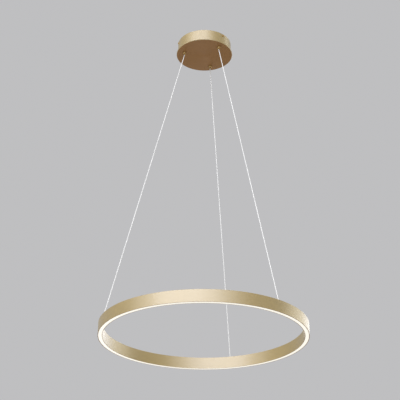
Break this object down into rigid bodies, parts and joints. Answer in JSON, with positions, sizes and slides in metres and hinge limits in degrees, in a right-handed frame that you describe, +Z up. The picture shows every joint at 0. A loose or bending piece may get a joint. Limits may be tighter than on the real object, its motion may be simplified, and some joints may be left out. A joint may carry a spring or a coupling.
{
  "type": "led ring chandelier",
  "caption": "Slim ring pendant light, lit from below, hung level on taut adjustable cables from a round ceiling canopy.",
  "frame": {"origin": "centre of the ceiling bracket's upper face, where the canopy meets the ceiling", "axes": "+Z up into the ceiling, the lamp hangs to -Z; +X to the right and +Y away from the viewer of the reference picture"},
  "size_m": [0.5999, 0.6, 1],
  "materials": {
    "champagne_aluminium": "satin brushed champagne gold anodised aluminium",
    "gripper_brass": "satin gold plated brass",
    "steel_parts": "zinc plated",
    "spring_steel": "drawn spring wire",
    "bracket_steel": "galvanised sheet, matt",
    "zinc_anchor": "nickel plated",
    "joiner_aluminium": "mill finish",
    "cable_jacket": "pale grey smooth jacket over tinned strands",
    "bushing_nylon": "natural nylon",
    "opal_diffuser": "opal, satin, lit warm white",
    "led_board": "white solder resist",
    "led_chip": "phosphor yellow dome",
    "driver_plastic": "fine moulded texture",
    "circuit_board": "green solder resist",
    "transformer_tape": "yellow winding tape",
    "capacitor_can": "sleeved can",
    "terminal_plastic": "moulded",
    "wire_insulation": "smooth insulation"
  },
  "bodies": {
    "root": {"canopy_wall": "champagne_aluminium", "canopy_plate": "champagne_aluminium", "gripper_body_1": "gripper_brass", "gripper_body_2": "gripper_brass", "gripper_body_3": "gripper_brass", "canopy_screws": "gripper_brass", "plate_nuts": "steel_parts", "driver_nuts": "steel_parts", "terminal_screws": "steel_parts", "output_screws": "steel_parts", "gripper_nut_1": "steel_parts", "gripper_nut_2": "steel_parts", "gripper_nut_3": "steel_parts", "gripper_cap_1": "steel_parts", "gripper_cap_2": "steel_parts", "gripper_cap_3": "steel_parts", "gripper_spring_1": "spring_steel", "gripper_spring_2": "spring_steel", "gripper_spring_3": "spring_steel", "ceiling_bracket": "bracket_steel", "cable_1": "cable_jacket", "cable_2": "cable_jacket", "cable_3": "cable_jacket", "cable_tail_1": "cable_jacket", "cable_tail_2": "cable_jacket", "cable_tail_3": "cable_jacket", "driver_case": "driver_plastic", "driver_lid": "driver_plastic", "driver_board": "circuit_board", "driver_transformer": "transformer_tape", "driver_capacitors": "capacitor_can", "terminal_block": "terminal_plastic", "output_block": "terminal_plastic"},
    "ring": {"ring_profile": "champagne_aluminium", "ring_diffuser": "opal_diffuser", "led_strip": "led_board", "led_chips": "led_chip", "ring_joiner": "joiner_aluminium", "joiner_screws": "steel_parts", "anchor_screws": "steel_parts", "feed_wires": "wire_insulation", "anchor_block_1": "zinc_anchor", "anchor_block_2": "zinc_anchor", "anchor_block_3": "zinc_anchor", "cable_end_1": "zinc_anchor", "cable_end_2": "zinc_anchor", "cable_end_3": "zinc_anchor", "top_bushing_1": "bushing_nylon", "top_bushing_2": "bushing_nylon", "top_bushing_3": "bushing_nylon"},
    "nozzle_1": {"gripper_plunger_1": "gripper_brass"},
    "nozzle_2": {"gripper_plunger_2": "gripper_brass"},
    "nozzle_3": {"gripper_plunger_3": "gripper_brass"}
  },
  "joints": [
    {"name": "ring_height", "type": "slide", "parent": "root", "child": "ring", "axis": [0, 0, 1], "range_m": [0, 0.5], "deforming": ["cable_1", "cable_2", "cable_3"]},
    {"name": "nozzle_1_press", "type": "slide", "parent": "root", "child": "nozzle_1", "axis": [0, 0, 1], "range_m": [0, 0.0025], "stiffness_N_per_m": 600, "springref_m": -0.004, "deforming": ["gripper_spring_1"]},
    {"name": "nozzle_2_press", "type": "slide", "parent": "root", "child": "nozzle_2", "axis": [0, 0, 1], "range_m": [0, 0.0025], "stiffness_N_per_m": 600, "springref_m": -0.004, "deforming": ["gripper_spring_2"]},
    {"name": "nozzle_3_press", "type": "slide", "parent": "root", "child": "nozzle_3", "axis": [0, 0, 1], "range_m": [0, 0.0025], "stiffness_N_per_m": 600, "springref_m": -0.004, "deforming": ["gripper_spring_3"]}
  ]
}
